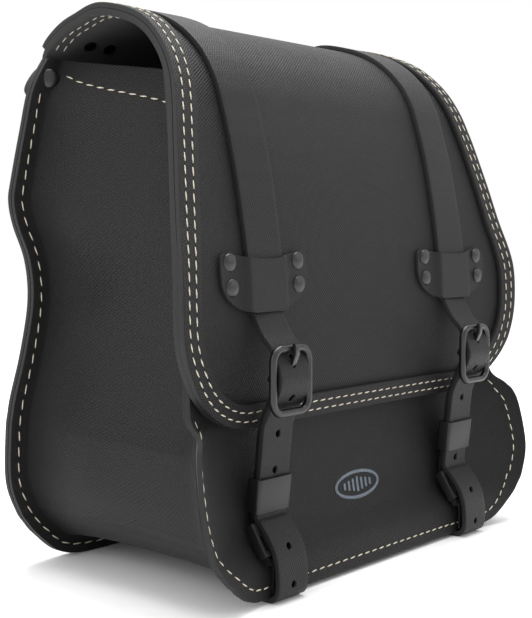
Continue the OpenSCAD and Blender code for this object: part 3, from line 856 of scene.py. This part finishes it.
stitches("side_wing_stitching", [wing_line(-1), wing_line(1)], "bag", out=0.3,
         pitch=SEAM_PITCH)


# ---------------------------------------------------------------- buckles, keepers, rivets
# Black-lacquered steel frame buckles with a prong on the middle bar, leather keepers
# round strap and chape, domed rivets, and moulded black clips behind the straps.
lacquer = material("black_lacquered_steel", 0.32, "#0a0a0b", coat=0.25)
shader_of(lacquer).inputs["Coat Roughness"].default_value = 0.2
orange_peel = speckle(lacquer, 500.0, 2.0, relief=(0.12, 0.0002))
wear = node(lacquer, "ShaderNodeMapRange", {"To Min": 0.26, "To Max": 0.42}, Value=orange_peel)
lacquer.node_tree.links.new(wear.outputs["Result"], shader_of(lacquer).inputs["Roughness"])

acetal = material("moulded_black_acetal", 0.6, "#0a0a0a")
speckle(acetal, 2200.0, 1.0, relief=(0.15, 0.0001))

pressed_board = material("pressed_fibre_board", 0.85, "#2a2a2c")
speckle(pressed_board, 350.0, 5.0, ("#202022", "#38383b"))

plain_leather = material("waxed_keeper_leather", 0.46, "#0e0e0f")
speckle(plain_leather, 1000 / PORE_MM, 3.0, ("#0c0c0c", "#131313"), (0.22, 0.00016))


def rounded_copy(cad_name, name, made, radius, body, angle=30):
    """A finished copy of a plain CAD solid: merged, with softened arrises."""
    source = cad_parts[cad_name]
    bm = bmesh.new()
    bm.from_mesh(source.data)
    bmesh.ops.remove_doubles(bm, verts=bm.verts, dist=0.00001)
    bmesh.ops.dissolve_limit(bm, angle_limit=math.radians(2), verts=bm.verts, edges=bm.edges)
    limit = math.radians(angle)
    sharp = [e for e in bm.edges if len(e.link_faces) == 2 and e.calc_face_angle(0) > limit]
    bmesh.ops.bevel(bm, geom=sharp, offset=radius * MM, offset_type="OFFSET", segments=2,
                    profile=0.5, affect="EDGES", clamp_overlap=True, material=-1)
    for f in bm.faces:
        f.material_index = 0
    piece = mesh_piece(name, bm, made)
    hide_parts(cad_name)
    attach(piece, body)


def finish_cad(name, made):
    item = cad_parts[name]
    for k in range(len(item.material_slots)):
        item.material_slots[k].material = made


def dome(bm, place, facing, radius, height):
    """A rivet head: a shallow domed cap with a rolled rim, spun round its axis."""
    curve = [(radius * math.sin(math.radians(a)), height * math.cos(math.radians(a)))
             for a in (0, 12, 25, 38, 51, 64, 77, 88)] + [(radius, -0.4), (radius * 0.6, -0.4)]
    line = [bm.verts.new(Vector((r, 0, h)) * MM) for r, h in curve]
    edges = [bm.edges.new(pair) for pair in zip(line, line[1:])]
    bmesh.ops.spin(bm, geom=line + edges, cent=(0, 0, 0), axis=(0, 0, 1),
                   angle=2 * math.pi, steps=28, use_merge=True, use_duplicate=False)
    made = {v for f in bm.faces if f.tag is False for v in f.verts} | set(line)
    turn = Vector(facing).to_track_quat("Z", "Y").to_matrix().to_4x4()
    bmesh.ops.transform(bm, matrix=Matrix.Translation(Vector(place) * MM) @ turn, verts=list(made))
    for f in bm.faces:
        f.tag = True


def rivet_piece(name, cad_name, heads, body):
    bm = bmesh.new()
    for head in heads:
        dome(bm, *head)
    bmesh.ops.remove_doubles(bm, verts=bm.verts, dist=0.000002)
    bmesh.ops.recalc_face_normals(bm, faces=bm.faces)
    piece = mesh_piece(name, bm, lacquer)
    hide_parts(cad_name)
    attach(piece, body)


TAB_RIVETS = [(-30.3, 193), (30.7, 193), (-29.3, 179), (31.2, 179)]
tab_heads = []
for side in (-1, 1):
    for dx, z in TAB_RIVETS:
        x = side * STRAP_X + dx
        y = flap_y(x, z)
        tab_heads += [((x, y - TAB_T, z), (0, -1, 0), 5.3, 2.0), ((x, y + FLAP_T, z), (0, 1, 0), 5, 1)]
rivet_piece("tab_rivet_heads", "tab_rivets", tab_heads, "flap")

REAR = BACK_Y + TAIL_T
LEAN = math.radians(30)
hinge_heads = []
for side in (-1, 1):
    x, z = side * 135.2, 305.5
    leaning = (side * math.sin(LEAN), -math.cos(LEAN), 0)
    hinge_heads += [((x, SEAM_Y - 0.6, z), leaning, 6, 1.9), ((x, REAR, z), (0, 1, 0), 5.5, 1)]
for x in (-70, 0, 70):
    hinge_heads += [((x, BACK_Y - BACK_T, 303), (0, -1, 0), 5, 2), ((x, REAR, 303), (0, 1, 0), 5.5, 1)]
rivet_piece("hinge_rivet_heads", "hinge_rivets", hinge_heads, "bag")

for word in ("left", "right"):
    finish_cad(f"buckle_frame_{word}", lacquer)
    rounded_copy(f"buckle_prong_{word}", f"prong_{word}", lacquer, 0.7, f"prong_{word}")
    rounded_copy(f"keeper_{word}", f"keeper_loop_{word}", plain_leather, 0.5, f"keeper_{word}")
    finish_cad(f"chape_{word}", plain_leather)
    finish_cad(f"anchor_strap_{word}", plain_leather)
    rounded_copy(f"clip_female_{word}", f"clip_body_{word}", acetal, 0.35, f"strap_{word}")
    finish_cad(f"clip_male_{word}", acetal)
    finish_cad(f"side_wing_{word}", plain_leather)
for name in ("anchor_rivets", "strap_end_rivets", "mounting_eyelets"):
    finish_cad(name, lacquer)
finish_cad("back_stiffener", pressed_board)
